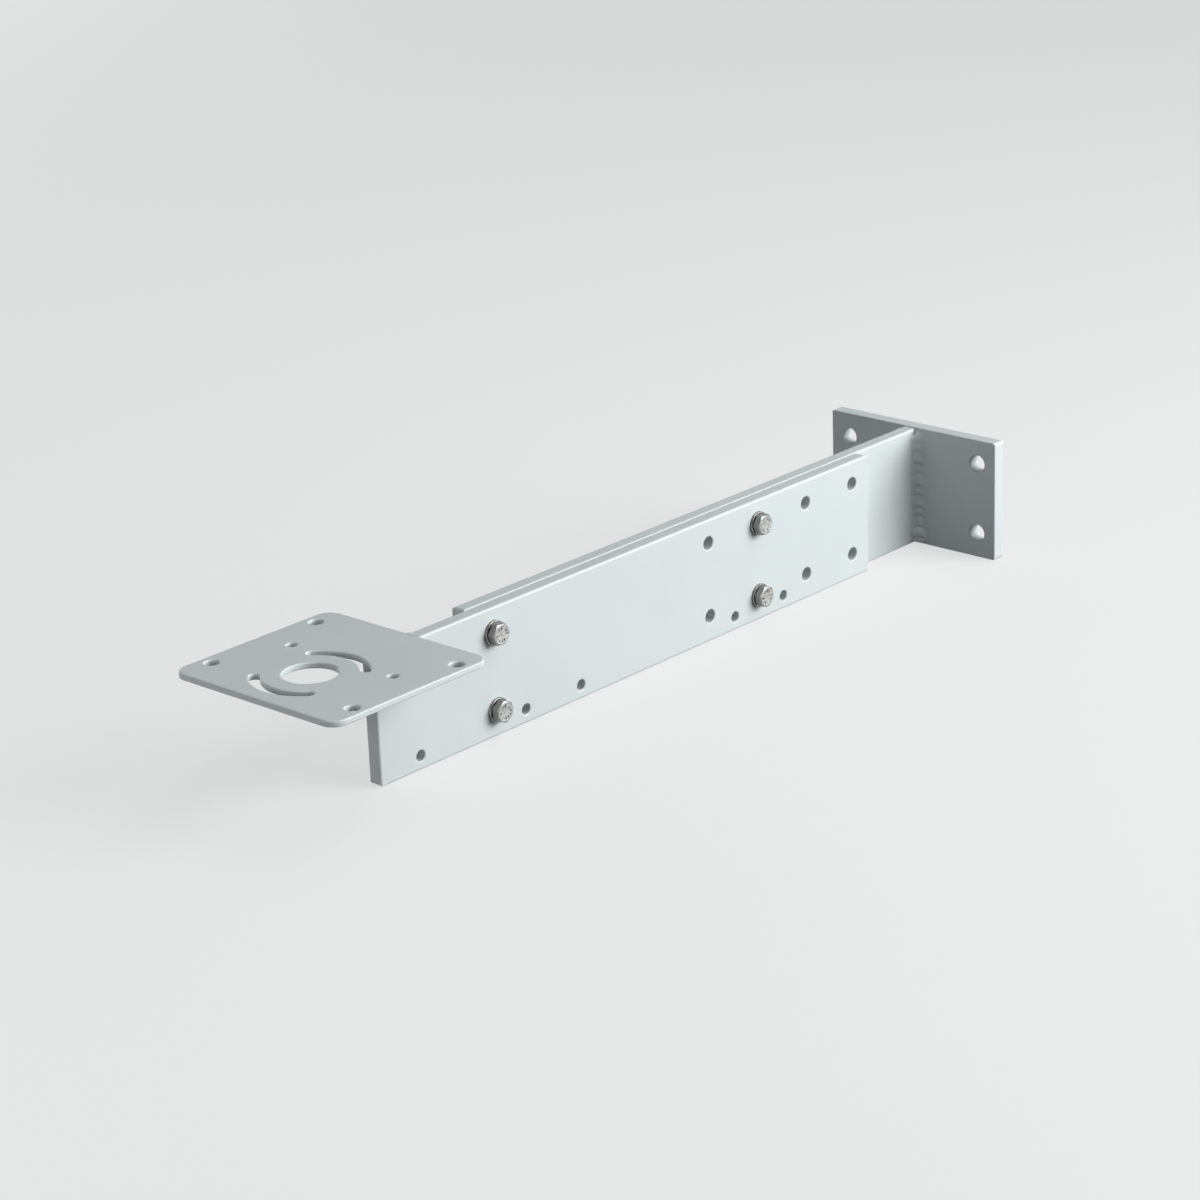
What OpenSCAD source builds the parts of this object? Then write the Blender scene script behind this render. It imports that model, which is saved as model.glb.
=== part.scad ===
// Bolted cantilever arm: a wall flange with one flat bar, a second flat bar bolted
// beside it, and a drilled device plate let into the free end of the second bar.
// Origin: centre of the wall bolt pattern on the wall face.
// X runs from the wall to the free end, Y to the device bar's side, Z up.

/* [Flat bars] */
// Height of both bars
bar_h = 83; // [80:1:100]
// Thickness of both bars and of the wall flange
bar_t = 10; // [8:1:12]
// Distance from the upper hole row to the top edges
top_margin = 16; // [15:1:20]
// Radius along the bars' edges
edge_r = 1.5; // [0.5:0.1:2]
// Radius of the bars' free corners in side view
corner_r = 3; // [2.5:0.5:5]
// Distance from the wall to the end of the wall bar
wall_bar_end = 459; // [455:1:480]
// Distance from the wall to the near end of the device bar
device_bar_start = 76; // [60:1:80]
// Distance from the wall to the free end of the device bar
device_bar_end = 544; // [535:1:550]
// Sideways offset of the bars' meeting plane from the flange's centre
joint_y = 2.5; // [0:0.5:5]

/* [Hole grid] */
// Distance between neighbouring columns and between the two rows
pitch = 50; // [50:1:50]
// Distance from the wall to the first column
first_column = 94; // [92:1:98]
// Clearance holes for the clamping bolts
bolt_hole_d = 9; // [8.5:0.1:9.5]
// Small holes along the lower edge
tie_hole_d = 7; // [5:0.1:7.5]
// Height of the small holes above the lower edge
tie_hole_lift = 9; // [7:0.5:10]
// Distance from the wall to the small hole below the plate
last_tie_hole_x = 510.5; // [500:0.5:530]
// Radius of the rounded rim of every hole in the bars and the flange
hole_rim_r = 0.9; // [0.2:0.1:1]

/* [Wall flange] */
// Width of the flange
flange_w = 140; // [130:1:160]
// Height of the flange's top above the bars' top edges
flange_rise = 1; // [0:0.5:2]
// Radius along the flange's edges
flange_edge_r = 0.7; // [0.4:0.1:1.5]
// Radius of the flange's corners in front view
flange_corner_r = 2; // [1.5:0.5:5]
// Distance between the wall holes across the flange
wall_hole_gap = 110; // [90:1:110]
// Wall holes
wall_hole_d = 12; // [9:0.5:13]

/* [Device plate] */
// Length of the plate along the arm
plate_l = 125; // [120:1:140]
// Width of the plate across the arm
plate_w = 135; // [130:1:150]
// Thickness of the plate, and depth of the step that it lies in
plate_t = 4; // [3:0.5:5]
// Distance from the wall to the rear edge of the plate
plate_x = 505.5; // [500:0.5:510]
// Corner radius of the plate
plate_corner_r = 10; // [6:1:12]
// Radius along the plate's edges
plate_edge_r = 1; // [0.4:0.1:1.4]
// Distance from the plate's rear edge to the rear pair of corner holes
corner_hole_x = 19; // [16:0.5:22]
// Corner hole spacing along the arm
corner_gap_x = 83; // [70:1:90]
// Corner hole spacing across the arm
corner_gap_y = 117; // [100:1:117]
// Corner holes
corner_hole_d = 9; // [6:0.5:9]
// Distance from the plate's rear edge to the pair of side holes
side_hole_x = 54; // [50:0.5:58]
// Side hole spacing across the arm
side_gap = 84; // [80:1:100]
// Side holes
side_hole_d = 6.6; // [5:0.1:8]
// Distance from the plate's rear edge to the cable hole's centre
cable_hole_x = 79; // [75:0.5:80]
// Cable hole
cable_hole_d = 33; // [25:1:36]
// Radius of the two arc slots, to their centre lines
slot_r = 32; // [28:0.5:34]
// Width of the arc slots
slot_w = 6.5; // [5:0.5:8]
// Angle between the centres of a slot's round ends
slot_angle = 90; // [40:5:100]
// Radius of the rounded rim of every opening in the plate
plate_rim_r = 1; // [0.2:0.1:1.2]

/* [Welds] */
// Leg length on the flange of the fillet welds between the wall bar and the flange
flange_leg = 8.5; // [5:0.5:10]
// Leg length on the bar of the same welds
bar_leg = 4.5; // [3.5:0.5:8]
// Leg length of the fillet welds under the plate
plate_leg = 4; // [3:0.5:5]
// Distance between neighbouring weld ripples
ripple = 2.5; // [2:0.1:4]
// Height of a weld ripple
ripple_h = 0.35; // [0.1:0.05:0.5]
// Depth and half width of the groove that the seam weld fills
groove = 2; // [1:0.1:2]

/* [Fasteners] */
// Thread diameter of the clamping bolts
thread_d = 8; // [8:1:8]
// Length of the bolts below the head
bolt_l = 35; // [35:5:40]
// Width across the flats of heads and nuts
hex_af = 13; // [13:1:13]
// Height of the bolt heads
head_h = 5.3; // [5:0.1:5.6]
// Height of the nuts
nut_h = 6.8; // [6:0.1:7]
// Outer diameter of the washers
washer_d = 16; // [16:1:17]
// Bore of the washers
washer_bore = 8.4; // [8.2:0.1:8.8]
// Thickness of the washers
washer_t = 1.6; // [1.2:0.1:2]
// How far each bolt head is turned: wall side upper and lower, then free side
head_turn = [58, 42, 55, 35];
// How far each nut is turned, in the same order
nut_turn = [12, 41, 25, 52];

/* [Hidden] */

$fn = 48;
PAINT = [0.84, 0.87, 0.88];
STEEL = [0.74, 0.74, 0.72];

row_z = pitch / 2;
top_z = row_z + top_margin;
bottom_z = top_z - bar_h;
mid_z = (top_z + bottom_z) / 2;
tie_z = bottom_z + tie_hole_lift;
near_y = joint_y + bar_t;
far_y = joint_y - bar_t;
columns = [for (i = [0, 1, 2, 3, 7]) first_column + i * pitch];
bolt_columns = [columns[2], columns[4]];
tie_columns = concat([for (i = [1.5, 2.5, 5.5, 6.5]) first_column + i * pitch], [last_tie_hole_x]);
// The four bolts as column and row, in the order of head_turn
bolts = [for (x = bolt_columns, z = [row_z, -row_z]) [x, z]];
over = 1;

// Rectangle with round corners, centred on the origin
module round_rect(w, h, r) {
    square([w - 2 * r, h], center = true);
    square([w, h - 2 * r], center = true);
    for (x = [-1, 1], y = [-1, 1])
        translate([x * (w / 2 - r), y * (h / 2 - r)]) circle(r = r);
}

// Block centred on the origin, the outline of each view with its own corner radius
module rounded_block(size, r_along_x, r_along_y, r_along_z) {
    intersection() {
        rotate([90, 0, 90]) linear_extrude(height = size[0], center = true)
            round_rect(size[1], size[2], r_along_x);
        rotate([90, 0, 0]) linear_extrude(height = size[1], center = true)
            round_rect(size[0], size[2], r_along_y);
        linear_extrude(height = size[2], center = true)
            round_rect(size[0], size[1], r_along_z);
    }
}

// Half section of a through hole from 0 to t along Y, both rims rounded to radius r
module hole_section(d, t, r) {
    difference() {
        translate([0, -over]) square([d / 2 + r, t + 2 * over]);
        translate([d / 2, r]) square([2 * r, t - 2 * r]);
        for (y = [r, t - r]) translate([d / 2 + r, y]) circle(r = r);
    }
}

// Through hole along Z from 0 to t, with rounded rims
module rounded_hole(d, t, r) {
    rotate_extrude() hole_section(d, t, r);
}

// Hole through one bar, from its far face at y
module bar_hole(x, y, z, d) {
    translate([x, y, z]) rotate([-90, 0, 0]) rounded_hole(d, bar_t, hole_rim_r);
}

// Flat bar from x0 to x1 with its far face at y
module flat_bar(x0, x1, y) {
    translate([(x0 + x1) / 2, y + bar_t / 2, mid_z])
        rounded_block([x1 - x0, bar_t, bar_h], edge_r, corner_r, edge_r);
}

module wall_flange() {
    color(PAINT) difference() {
        translate([bar_t / 2, 0, mid_z + flange_rise / 2])
            rounded_block([bar_t, flange_w, bar_h + flange_rise],
                flange_corner_r, flange_edge_r, flange_edge_r);
        for (y = [-1, 1], z = [-1, 1])
            translate([0, y * wall_hole_gap / 2, z * row_z])
                rotate([0, 90, 0]) rounded_hole(wall_hole_d, bar_t, hole_rim_r);
    }
}

// The bar that stands on the flange: its wall end is square
module wall_bar() {
    color(PAINT) difference() {
        intersection() {
            flat_bar(0, wall_bar_end, far_y);
            translate([bar_t, far_y, bottom_z]) cube([wall_bar_end, bar_t, bar_h]);
        }
        for (x = columns, z = [-row_z, row_z]) bar_hole(x, far_y, z, bolt_hole_d);
    }
}

// The bar that carries the plate, stepped down by the plate's thickness at its free end
module device_bar() {
    color(PAINT) difference() {
        flat_bar(device_bar_start, device_bar_end, joint_y);
        translate([plate_x, joint_y - over, top_z - plate_t])
            cube([device_bar_end, bar_t + 2 * over, plate_t + over]);
        seam_groove();
        for (x = columns, z = [-row_z, row_z]) bar_hole(x, joint_y, z, bolt_hole_d);
        for (x = tie_columns) bar_hole(x, joint_y, tie_z, tie_hole_d);
    }
}

// Disc with a round edge, the corner of the plate
module edge_disc(r, t, e) {
    rotate_extrude() {
        square([r - e, t]);
        translate([0, e]) square([r, t - 2 * e]);
        for (y = [e, t - e]) translate([r - e, y]) circle(r = e);
    }
}

// Plate from 0 to l and from -w/2 to w/2, with round corners and round edges
module rounded_plate(l, w, t, r, e) {
    translate([l / 2, 0, t / 2]) rotate([90, 0, 90])
        linear_extrude(height = l - 2 * r, center = true) round_rect(w, t, e);
    translate([l / 2, 0, t / 2]) rotate([90, 0, 0])
        linear_extrude(height = w - 2 * r, center = true) round_rect(l, t, e);
    for (x = [r, l - r], y = [-1, 1])
        translate([x, y * (w / 2 - r), 0]) edge_disc(r, t, e);
}

// Cross-section of a slot with rounded rims, centred across the slot
module slot_section(w, t, r) {
    for (side = [0, 1]) mirror([side, 0]) hole_section(w, t, r);
}

// Arc slot about the Z axis, its middle towards +X
module arc_slot(r, w, angle, t, rim_r) {
    rotate([0, 0, -angle / 2]) rotate_extrude(angle = angle)
        translate([r, 0]) slot_section(w, t, rim_r);
    for (a = [-1, 1]) rotate([0, 0, a * angle / 2]) translate([r, 0, 0]) rounded_hole(w, t, rim_r);
}

module device_plate() {
    color(PAINT) difference() {
        translate([plate_x, joint_y, top_z - plate_t]) difference() {
            rounded_plate(plate_l, plate_w, plate_t, plate_corner_r, plate_edge_r);
            for (x = [0, 1], y = [-1, 1])
                translate([corner_hole_x + x * corner_gap_x, y * corner_gap_y / 2, 0])
                    rounded_hole(corner_hole_d, plate_t, plate_rim_r);
            for (y = [-1, 1])
                translate([side_hole_x, y * side_gap / 2, 0])
                    rounded_hole(side_hole_d, plate_t, plate_rim_r);
            translate([cable_hole_x, 0, 0]) {
                rounded_hole(cable_hole_d, plate_t, plate_rim_r);
                for (a = [0, 180]) rotate([0, 0, a])
                    arc_slot(slot_r, slot_w, slot_angle, plate_t, plate_rim_r);
            }
        }
        seam_groove();
    }
}

// V groove across the bar's top where the plate's rear edge meets the step
module seam_groove() {
    translate([plate_x, near_y, top_z]) rotate([90, 0, 0]) linear_extrude(height = bar_t)
        polygon([[-groove, 0], [0, -groove], [groove, 0], [groove, over], [-groove, over]]);
}

// Rippled fillet weld along Z from 0 to l, in the corner of the +X and +Y planes, with its
// two leg lengths: a turned sawtooth profile whose axis lies behind the corner
module fillet_weld(leg_x, leg_y, l) {
    back_y = leg_y * 0.75;
    back_x = (leg_y * leg_y + 2 * leg_y * back_y - leg_x * leg_x) / (2 * leg_x);
    face_r = sqrt(pow(leg_x + back_x, 2) + back_y * back_y);
    count = round(l / ripple);
    step = l / count;
    teeth = [for (i = [0 : count - 1], tip = [0, 1])
        [face_r - tip * ripple_h, (i + tip) * step]];
    intersection() {
        cube([leg_x + over, leg_y + over, l]);
        translate([-back_x, -back_y, 0]) rotate_extrude($fn = 96)
            polygon(concat([[0, 0]], teeth, [[0, l]]));
    }
}

// Length and lower end of the welds between the wall bar and the flange
flange_weld_l = bar_h - 6;
flange_weld_z = bottom_z + 3;

module flange_weld_near() {
    color(PAINT) translate([bar_t, joint_y, flange_weld_z])
        fillet_weld(bar_leg, flange_leg, flange_weld_l);
}

module flange_weld_far() {
    color(PAINT) translate([bar_t, far_y, flange_weld_z]) mirror([0, 1, 0])
        fillet_weld(bar_leg, flange_leg, flange_weld_l);
}

// Length of the welds under the plate, and their distance from the step
plate_weld_gap = 2;
plate_weld_l = device_bar_end - corner_r - plate_x - 2 * plate_weld_gap;

// Fillet weld between the plate's underside and one face of the device bar
module plate_weld(y, side) {
    translate([plate_x + plate_weld_gap, y, top_z - plate_t]) mirror([0, side < 0 ? 1 : 0, 0])
        rotate([0, 90, 0]) fillet_weld(plate_leg, plate_leg, plate_weld_l);
}

module plate_weld_near() {
    color(PAINT) plate_weld(near_y, 1);
}

module plate_weld_far() {
    color(PAINT) plate_weld(joint_y, -1);
}

// Height of the seam weld's crown above the top edges
crown = 0.4;

// Bead that fills the groove, slightly crowned
module plate_seam_weld() {
    cap_r = (groove * groove + crown * crown) / (2 * crown);
    color(PAINT) translate([plate_x, near_y, top_z]) rotate([90, 0, 0]) linear_extrude(height = bar_t) {
        polygon([[-groove, 0], [0, -groove], [groove, 0]]);
        intersection() {
            translate([0, crown - cap_r]) circle(r = cap_r, $fn = 96);
            translate([-groove, 0]) square([2 * groove, crown]);
        }
    }
}

// Hexagon prism along Z from 0 to h, one or both faces chamfered at 30 degrees
module chamfered_hex(h, both) {
    flat_r = hex_af * 0.475;
    drop = (hex_af / sqrt(3) - flat_r) * tan(30);
    intersection() {
        cylinder(d = hex_af / cos(30), h = h, $fn = 6);
        union() {
            translate([0, 0, h - drop]) cylinder(r1 = flat_r + drop / tan(30), r2 = flat_r, h = drop);
            translate([0, 0, both ? drop : 0])
                cylinder(r = flat_r + drop / tan(30), h = h - (both ? 2 : 1) * drop);
            if (both) cylinder(r1 = flat_r, r2 = flat_r + drop / tan(30), h = drop);
        }
    }
}

// Bolt with its head's bearing face at the origin and its shank along -Z
module hex_bolt(turn) {
    bearing_h = 0.4;
    end_chamfer = 1;
    translate([0, 0, bearing_h]) rotate([0, 0, turn]) chamfered_hex(head_h - bearing_h, false);
    cylinder(d = hex_af * 0.89, h = bearing_h);
    translate([0, 0, end_chamfer - bolt_l]) cylinder(d = thread_d, h = bolt_l - end_chamfer);
    translate([0, 0, -bolt_l]) cylinder(d1 = thread_d - 2 * end_chamfer, d2 = thread_d, h = end_chamfer);
}

module hex_nut(turn) {
    countersink_r = thread_d / 2 + 0.4;
    difference() {
        rotate([0, 0, turn]) chamfered_hex(nut_h, true);
        translate([0, 0, -over]) cylinder(d = thread_d, h = nut_h + 2 * over);
        for (up = [0, 1]) translate([0, 0, up * nut_h]) mirror([0, 0, up])
            cylinder(r1 = countersink_r, r2 = 0, h = countersink_r);
    }
}

// Places children at bolt i, at height y, with +Z turned to the device bar's side,
// or to the wall bar's side where side is -1
module at_bolt(i, y, side = 1) {
    translate([bolts[i][0], y, bolts[i][1]]) rotate([-90 * side, 0, 0]) children();
}

// Flat washer from 0 to its thickness, its upper outer edge rounded by the punch
module washer() {
    edge = washer_t / 3;
    width = (washer_d - washer_bore) / 2;
    rotate_extrude() translate([washer_bore / 2, 0]) {
        square([width - edge, washer_t]);
        square([width, washer_t - edge]);
        translate([width - edge, washer_t - edge]) circle(r = edge);
    }
}

module clamp_bolt(i) {
    color(STEEL) at_bolt(i, near_y + washer_t) hex_bolt(head_turn[i]);
}

module head_washer(i) {
    color(STEEL) at_bolt(i, near_y) washer();
}

module nut_washer(i) {
    color(STEEL) at_bolt(i, far_y, -1) washer();
}

module clamp_nut(i) {
    color(STEEL) at_bolt(i, far_y - washer_t, -1) hex_nut(nut_turn[i]);
}

wall_flange();
wall_bar();
device_bar();
device_plate();
flange_weld_near();
flange_weld_far();
plate_seam_weld();
plate_weld_near();
plate_weld_far();
clamp_bolt(0);  // bolt_wall_upper
clamp_bolt(1);  // bolt_wall_lower
clamp_bolt(2);  // bolt_free_upper
clamp_bolt(3);  // bolt_free_lower
head_washer(0);  // head_washer_wall_upper
head_washer(1);  // head_washer_wall_lower
head_washer(2);  // head_washer_free_upper
head_washer(3);  // head_washer_free_lower
nut_washer(0);  // nut_washer_wall_upper
nut_washer(1);  // nut_washer_wall_lower
nut_washer(2);  // nut_washer_free_upper
nut_washer(3);  // nut_washer_free_lower
clamp_nut(0);  // nut_wall_upper
clamp_nut(1);  // nut_wall_lower
clamp_nut(2);  // nut_free_upper
clamp_nut(3);  // nut_free_lower
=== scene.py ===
"""The looks of a bolted cantilever arm: powder-coated flat bars, welds and stainless M8 fasteners.

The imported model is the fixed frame. Bars, flange, plate and washers keep their CAD meshes and get
their finishes; welds, bolts and nuts are modelled here at the same places. Lengths are in metres,
and values that end in _mm are millimetres.
"""

import logging
import math
from dataclasses import dataclass, field
from enum import Enum

import bmesh
import bpy
from mathutils import Matrix, Vector


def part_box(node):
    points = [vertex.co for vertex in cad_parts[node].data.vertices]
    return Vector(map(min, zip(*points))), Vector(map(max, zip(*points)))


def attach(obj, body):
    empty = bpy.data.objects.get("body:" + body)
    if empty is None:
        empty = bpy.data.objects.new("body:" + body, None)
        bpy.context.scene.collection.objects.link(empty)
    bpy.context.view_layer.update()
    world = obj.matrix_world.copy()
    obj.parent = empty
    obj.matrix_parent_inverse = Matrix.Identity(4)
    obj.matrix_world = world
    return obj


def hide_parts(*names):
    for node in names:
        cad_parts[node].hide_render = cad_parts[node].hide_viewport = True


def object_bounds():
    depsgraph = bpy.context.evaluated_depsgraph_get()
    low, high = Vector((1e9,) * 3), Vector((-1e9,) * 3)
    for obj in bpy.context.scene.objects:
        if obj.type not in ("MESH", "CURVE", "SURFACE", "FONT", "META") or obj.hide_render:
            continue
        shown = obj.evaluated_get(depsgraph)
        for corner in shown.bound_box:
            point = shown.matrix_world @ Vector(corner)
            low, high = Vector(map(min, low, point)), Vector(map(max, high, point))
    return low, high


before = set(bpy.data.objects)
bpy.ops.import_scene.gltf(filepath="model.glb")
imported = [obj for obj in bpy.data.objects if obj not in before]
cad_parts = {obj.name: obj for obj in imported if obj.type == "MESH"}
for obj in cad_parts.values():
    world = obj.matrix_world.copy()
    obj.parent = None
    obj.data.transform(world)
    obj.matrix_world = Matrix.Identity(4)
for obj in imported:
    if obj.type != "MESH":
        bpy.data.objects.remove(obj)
cad_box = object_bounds()

MM = 0.001
BODY = "root"
FLANK = "flank"
FLOAT = "NodeSocketFloat"
MATH = "ShaderNodeMath"
MERGE_DISTANCE = 1e-7
FIRST_MARKS_SEED = 3
LOG = logging.getLogger("cantilever_arm")


class Slot(Enum):
    """The record's material slots."""

    POWDER_COAT = "powder_coat"
    WELD = "weld_coat"
    HEX = "stainless_hex"
    WASHER = "stainless_washer"


class BoltPlace(Enum):
    """Where each of the four clamping bolts sits, as in the names of its nodes."""

    WALL_UPPER = "wall_upper"
    WALL_LOWER = "wall_lower"
    FREE_UPPER = "free_upper"
    FREE_LOWER = "free_lower"


class Side(Enum):
    """A weld's side of the bar, as the sign of Y on which it lies."""

    NEAR = 1
    FAR = -1


def colour(code: str) -> tuple[float, float, float, float]:
    """Turns an sRGB hex code into linear colour.

    Args:
        code: Six hex digits, such as "#D9DFE0".

    Returns:
        Linear red, green, blue and an alpha of 1.
    """
    values = [int(code[i : i + 2], 16) / 255 for i in (1, 3, 5)]
    return (*(v / 12.92 if v <= 0.04045 else ((v + 0.055) / 1.055) ** 2.4 for v in values), 1.0)


def add_node(
    tree: bpy.types.NodeTree, kind: str, settings: dict | None = None, inputs: dict | None = None
) -> bpy.types.Node:
    """Adds one node to a tree, sets it up and feeds its inputs.

    Args:
        tree: The tree that the node joins.
        kind: The node's type name.
        settings: The node's own attributes and their values.
        inputs: For each input, by name or number, a constant, the output socket that feeds it, or
            the node whose first output feeds it.

    Returns:
        The new node.
    """
    node = tree.nodes.new(kind)
    for name, value in (settings or {}).items():
        setattr(node, name, value)
    for key, value in (inputs or {}).items():
        if isinstance(value, bpy.types.Node):
            value = value.outputs[0]
        if isinstance(value, bpy.types.NodeSocket):
            tree.links.new(value, node.inputs[key])
        else:
            node.inputs[key].default_value = value
    return node


def new_material(name: str) -> tuple[bpy.types.Material, bpy.types.NodeTree]:
    """Makes an empty node material.

    Args:
        name: The material's name.

    Returns:
        The material and its cleared node tree.
    """
    material = bpy.data.materials.new(name)
    material.use_nodes = True
    material.node_tree.nodes.clear()
    return material, material.node_tree


@dataclass(frozen=True)
class PowderCoat:
    """Polyester powder coat, baked: a closed satin film with a faint orange-peel surface."""

    name: str = "light_grey_powder_coat"
    pigment: str = "#C7CFD0"
    pigment_thin: str = "#C1C9CA"
    roughness: float = 0.43
    roughness_spread: float = 0.05
    cloud_mm: float = 45.0
    peel_mm: float = 1.1
    peel_depth_mm: float = 0.012
    peel_range: tuple[float, float] = (0.3, 0.7)
    grain_mm: float = 0.28
    grain_depth_mm: float = 0.003
    resin_ior: float = 1.5

    def material(self) -> bpy.types.Material:
        """Builds the coat's material.

        Returns:
            The material, with its patterns in millimetres of the object.
        """
        material, tree = new_material(self.name)
        place = add_node(tree, "ShaderNodeTexCoord").outputs["Object"]
        clouds, peel, grain = (
            add_node(
                tree,
                "ShaderNodeTexNoise",
                inputs={"Vector": place, "Scale": 1 / (size * MM), "Detail": detail},
            )
            for size, detail in ((self.cloud_mm, 2.0), (self.peel_mm, 1.0), (self.grain_mm, 0.0))
        )
        tint = add_node(
            tree,
            "ShaderNodeMix",
            {"data_type": "RGBA"},
            {"Factor": clouds, 6: colour(self.pigment_thin), 7: colour(self.pigment)},
        )
        gloss = add_node(
            tree,
            "ShaderNodeMapRange",
            inputs={
                "Value": peel,
                "From Min": self.peel_range[0],
                "From Max": self.peel_range[1],
                "To Min": self.roughness - self.roughness_spread,
                "To Max": self.roughness + self.roughness_spread,
            },
        )
        fine = add_node(
            tree,
            "ShaderNodeBump",
            inputs={"Height": grain, "Distance": self.grain_depth_mm * MM, "Strength": 1.0},
        )
        waves = add_node(
            tree,
            "ShaderNodeBump",
            inputs={
                "Height": peel,
                "Distance": self.peel_depth_mm * MM,
                "Strength": 1.0,
                "Normal": fine,
            },
        )
        shader = add_node(
            tree,
            "ShaderNodeBsdfPrincipled",
            inputs={
                "Base Color": tint.outputs[2],
                "Roughness": gloss,
                "Normal": waves,
                "IOR": self.resin_ior,
            },
        )
        add_node(tree, "ShaderNodeOutputMaterial", inputs={"Surface": shader})
        return material


@dataclass(frozen=True)
class StainlessSteel:
    """Austenitic stainless steel as it leaves the forming tool: a warm grey metal with soft marks."""

    name: str
    light: str
    dark: str
    roughness: float
    roughness_spread: float
    mottle_mm: float
    scratch_mm: float
    scratch_depth_mm: float
    mottle_range: tuple[float, float] = (0.35, 0.65)
    # A darker colour for the flanks as painted shade; empty for none
    flank: str = ""

    def material(self) -> bpy.types.Material:
        """Builds the steel's material.

        Returns:
            The material, with its patterns in millimetres of the object.
        """
        material, tree = new_material(self.name)
        place = add_node(tree, "ShaderNodeTexCoord").outputs["Object"]
        mottle = add_node(
            tree,
            "ShaderNodeTexNoise",
            inputs={"Vector": place, "Scale": 1 / (self.mottle_mm * MM), "Detail": 3.0},
        )
        spread = add_node(
            tree,
            "ShaderNodeMapRange",
            inputs={
                "Value": mottle,
                "From Min": self.mottle_range[0],
                "From Max": self.mottle_range[1],
            },
        )
        tint = add_node(
            tree,
            "ShaderNodeMix",
            {"data_type": "RGBA"},
            {"Factor": spread, 6: colour(self.dark), 7: colour(self.light)},
        )
        # Painted shade: where the flanks' attribute is set, the tint turns to the darker flank colour,
        # standing in for the dark reflections and shadow on them
        if self.flank:
            on_flank = add_node(tree, "ShaderNodeAttribute", {"attribute_name": FLANK})
            tint = add_node(
                tree,
                "ShaderNodeMix",
                {"data_type": "RGBA"},
                {"Factor": on_flank.outputs["Fac"], 6: tint.outputs[2], 7: colour(self.flank)},
            )
        gloss = add_node(
            tree,
            "ShaderNodeMapRange",
            inputs={
                "Value": spread,
                "To Min": self.roughness + self.roughness_spread,
                "To Max": self.roughness - self.roughness_spread,
            },
        )
        scratches = add_node(
            tree,
            "ShaderNodeTexNoise",
            inputs={"Vector": place, "Scale": 1 / (self.scratch_mm * MM), "Detail": 2.0},
        )
        bump = add_node(
            tree,
            "ShaderNodeBump",
            inputs={"Height": scratches, "Distance": self.scratch_depth_mm * MM, "Strength": 1.0},
        )
        shader = add_node(
            tree,
            "ShaderNodeBsdfPrincipled",
            inputs={"Base Color": tint.outputs[2], "Metallic": 1.0, "Roughness": gloss, "Normal": bump},
        )
        add_node(tree, "ShaderNodeOutputMaterial", inputs={"Surface": shader})
        return material


@dataclass(frozen=True)
class PaperFloor:
    """Matt seamless studio paper: evenly white to the camera, with a pale shadow of the arm."""

    name: str = "white_studio_paper"
    seen: str = "#7A7B7B"
    bounce: str = "#282828"
    shine: str = "#EDEEEE"
    glow: float = 0.72
    roughness: float = 0.9
    specular: float = 0.1

    def material(self) -> bpy.types.Material:
        """Builds the paper's material.

        Returns:
            A diffuse material that is pale to the camera and in reflections, and throws only a
            little light back onto the arm.
        """
        material, tree = new_material(self.name)
        path = add_node(tree, "ShaderNodeLightPath")
        direct = add_node(
            tree,
            MATH,
            {"operation": "MAXIMUM"},
            {0: path.outputs["Is Camera Ray"], 1: path.outputs["Is Glossy Ray"]},
        )
        seen = add_node(
            tree, MATH, {"operation": "MAXIMUM"}, {0: direct, 1: path.outputs["Is Transmission Ray"]}
        )
        tone = add_node(
            tree,
            "ShaderNodeMix",
            {"data_type": "RGBA"},
            {"Factor": seen, 6: colour(self.bounce), 7: colour(self.seen)},
        )
        glow = add_node(tree, MATH, {"operation": "MULTIPLY"}, {0: seen, 1: self.glow})
        shader = add_node(
            tree,
            "ShaderNodeBsdfPrincipled",
            inputs={
                "Base Color": tone.outputs[2],
                "Roughness": self.roughness,
                "Specular IOR Level": self.specular,
                "Emission Color": colour(self.shine),
                "Emission Strength": glow,
            },
        )
        add_node(tree, "ShaderNodeOutputMaterial", inputs={"Surface": shader})
        return material


# Cold-forged heads and nuts are matt and mottled. Their flanks get a darker colour, a painted shade for
# the dark reflections and shadow they show
FORGED_STEEL = StainlessSteel(
    name="cold_forged_stainless_steel",
    light="#C6C8C5",
    dark="#8D8F8B",
    roughness=0.50,
    roughness_spread=0.07,
    mottle_mm=1.6,
    scratch_mm=0.5,
    scratch_depth_mm=0.02,
    flank="#8E8F8D",
)
# The raised ticks on the heads are dark steel: a painted shade standing in for the shade in stamped
# marks
PICKLED_STEEL = StainlessSteel(
    name="pickled_stainless_steel",
    light="#555452",
    dark="#3C3B39",
    roughness=0.42,
    roughness_spread=0.05,
    mottle_mm=0.8,
    scratch_mm=0.4,
    scratch_depth_mm=0.01,
)
# Punched and tumbled washers are smoother than the heads. Their steel is darker than the heads', partly
# a painted shade for the shadow the heads cast on them
STAMPED_STEEL = StainlessSteel(
    name="stamped_stainless_steel",
    light="#979896",
    dark="#787977",
    roughness=0.38,
    roughness_spread=0.05,
    mottle_mm=2.5,
    scratch_mm=0.35,
    scratch_depth_mm=0.008,
)


def dress(name: str, material: bpy.types.Material) -> None:
    """Gives a CAD node its finish.

    Args:
        name: The node's name.
        material: The material for all of its slots.
    """
    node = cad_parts[name]
    for entry in node.material_slots:
        entry.material = material
    LOG.info("%s keeps its CAD mesh and gets %s", name, material.name)


def mount(piece: bpy.types.Object, slot: Slot, *nodes: str) -> None:
    """Makes a finished piece part of the arm.

    Args:
        piece: The piece, at the origin and with its place in its mesh.
        slot: The record's material slot that it stands for. Not used.
        nodes: The CAD nodes that it stands for.
    """
    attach(piece, BODY)
    if nodes:
        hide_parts(*nodes)
    faces = len(piece.data.polygons)
    LOG.info("%s: %d faces, stands for %s", piece.name, faces, ", ".join(nodes) or "no node")


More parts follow.
